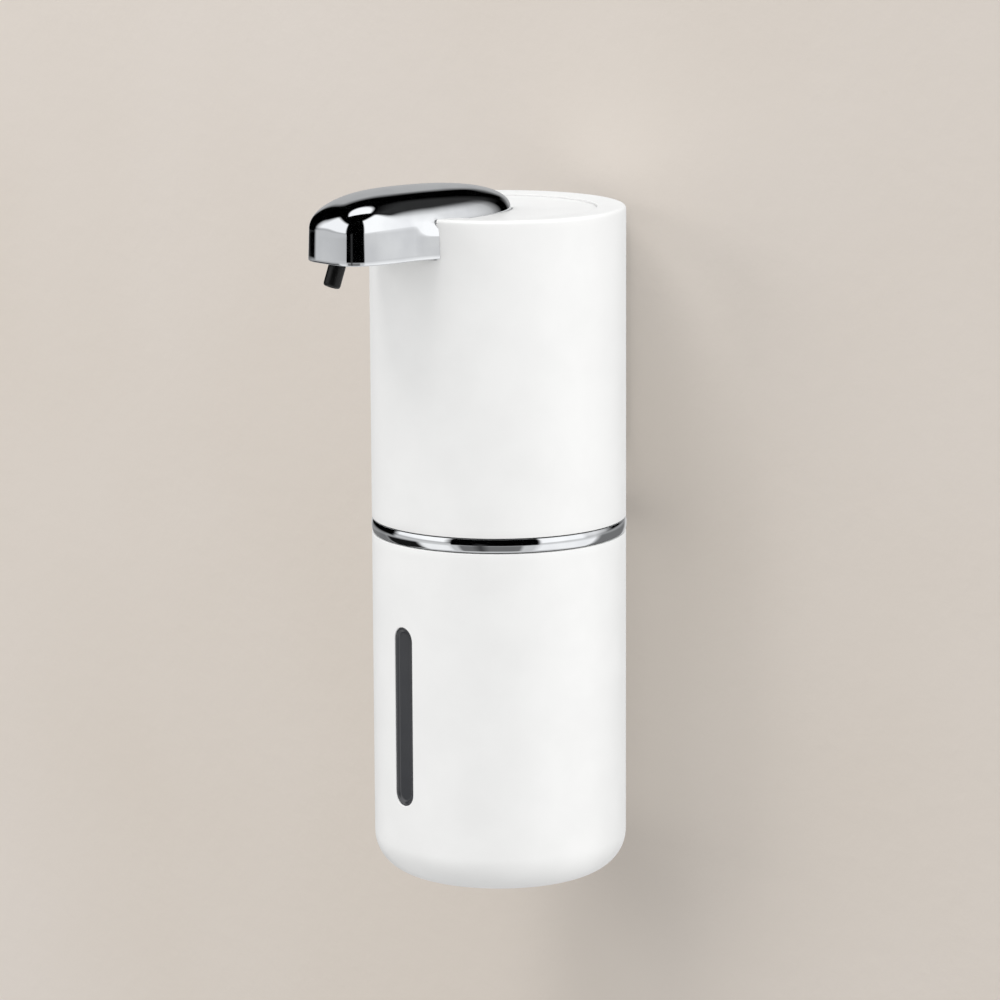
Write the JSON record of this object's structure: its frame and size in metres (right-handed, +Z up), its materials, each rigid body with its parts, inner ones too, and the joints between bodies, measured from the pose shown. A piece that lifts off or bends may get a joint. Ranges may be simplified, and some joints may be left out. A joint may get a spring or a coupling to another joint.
{
  "type": "wall mounted soap dispenser",
  "caption": "Wall mounted automatic soap dispenser: round white head with a chrome spout and ring over a pull-off bottle with a tinted window.",
  "frame": {"origin": "centre of the adhesive pad's back face, where the bracket meets the wall", "axes": "+Y into the wall, +Z up, and the spout points along -Y into the room"},
  "size_m": [0.0724, 0.1043, 0.1991],
  "materials": {
    "white_abs": "satin",
    "grey_abs": "satin",
    "chrome_plate": "polished",
    "black_rubber": "satin",
    "smoked_plastic": "gloss",
    "clear_plastic": "gloss",
    "black_plastic": "satin",
    "acetal": "satin",
    "steel": "satin",
    "circuit_board": "satin",
    "foam_tape": "matte",
    "cell_wrap": "gloss",
    "lead_wire": "satin"
  },
  "bodies": {
    "bracket": {"wall_bracket": "grey_abs", "adhesive_pad": "foam_tape"},
    "head": {"hanger_plate": "white_abs", "hanger_screw_upper": "steel", "hanger_screw_lower": "steel", "head_shell": "white_abs", "top_panel": "white_abs", "chrome_ring": "chrome_plate", "head_base": "grey_abs", "bottle_seal": "black_rubber", "spout_cover": "chrome_plate", "spout_base": "white_abs", "spout_screw_rear": "steel", "spout_screw_front": "steel", "nozzle": "black_rubber", "sensor_window": "smoked_plastic", "ir_emitter": "clear_plastic", "ir_receiver": "black_plastic", "status_light": "acetal", "sensor_board": "circuit_board", "pump_body": "acetal", "pump_cover": "acetal", "shaft_seal": "black_rubber", "motor_plate": "grey_abs", "motor": "steel", "dip_tube": "clear_plastic", "inlet_strainer": "grey_abs", "outlet_tube": "clear_plastic", "battery_cradle": "black_plastic", "battery_cell": "cell_wrap", "main_board": "circuit_board", "controller_chip": "black_plastic", "usb_socket": "steel", "button_switch": "black_plastic", "motor_lead": "lead_wire", "battery_lead": "lead_wire", "sensor_lead": "lead_wire", "base_screw_1": "steel", "base_screw_2": "steel", "base_screw_3": "steel", "base_screw_4": "steel", "pump_screw_1": "steel", "pump_screw_2": "steel", "pump_screw_3": "steel"},
    "bottle": {"bottle_shell": "white_abs", "window_lens": "smoked_plastic", "bottle_collar": "white_abs", "base_pad": "black_rubber"},
    "usb_flap": {"usb_cover": "black_rubber"},
    "button": {"power_button": "grey_abs"},
    "pump_drive": {"drive_shaft": "steel", "reduction_gear": "acetal", "pump_drive_gear": "acetal"},
    "pump_driven": {"idler_shaft": "steel", "pump_driven_gear": "acetal"},
    "motor_rotor": {"motor_shaft": "steel", "motor_pinion": "acetal"}
  },
  "joints": [
    {"name": "lift_off", "type": "slide", "parent": "bracket", "child": "head", "axis": [0, 0, 1], "range_m": [0, 0.045]},
    {"name": "bottle_pull", "type": "slide", "parent": "head", "child": "bottle", "axis": [0, 0, -1], "range_m": [0, 0.12]},
    {"name": "usb_cover_hinge", "type": "hinge", "parent": "head", "child": "usb_flap", "pos_m": [-0.02429, -0.01617, -0.01995], "axis": [0.766, 0.6428, 0], "range_deg": [0, 110]},
    {"name": "button_press", "type": "slide", "parent": "head", "child": "button", "axis": [0.6428, -0.766, 0], "range_m": [0, 0.0008], "stiffness_N_per_m": 150, "springref_m": -0.003},
    {"name": "pump_turn", "type": "hinge", "parent": "head", "child": "pump_drive", "pos_m": [0.006, -0.048, -0.034], "axis": [0, 0, 1], "continuous": true},
    {"name": "pump_follow", "type": "hinge", "parent": "head", "child": "pump_driven", "pos_m": [0.018, -0.048, -0.034], "axis": [0, 0, 1], "continuous": true},
    {"name": "motor_turn", "type": "hinge", "parent": "head", "child": "motor_rotor", "pos_m": [0.01198, -0.03703, -0.021], "axis": [0, 0, 1], "continuous": true}
  ],
  "couplings": [
    {"joint": "pump_follow", "follows": "pump_turn", "ratio": -1},
    {"joint": "motor_turn", "follows": "pump_turn", "ratio": -4}
  ]
}
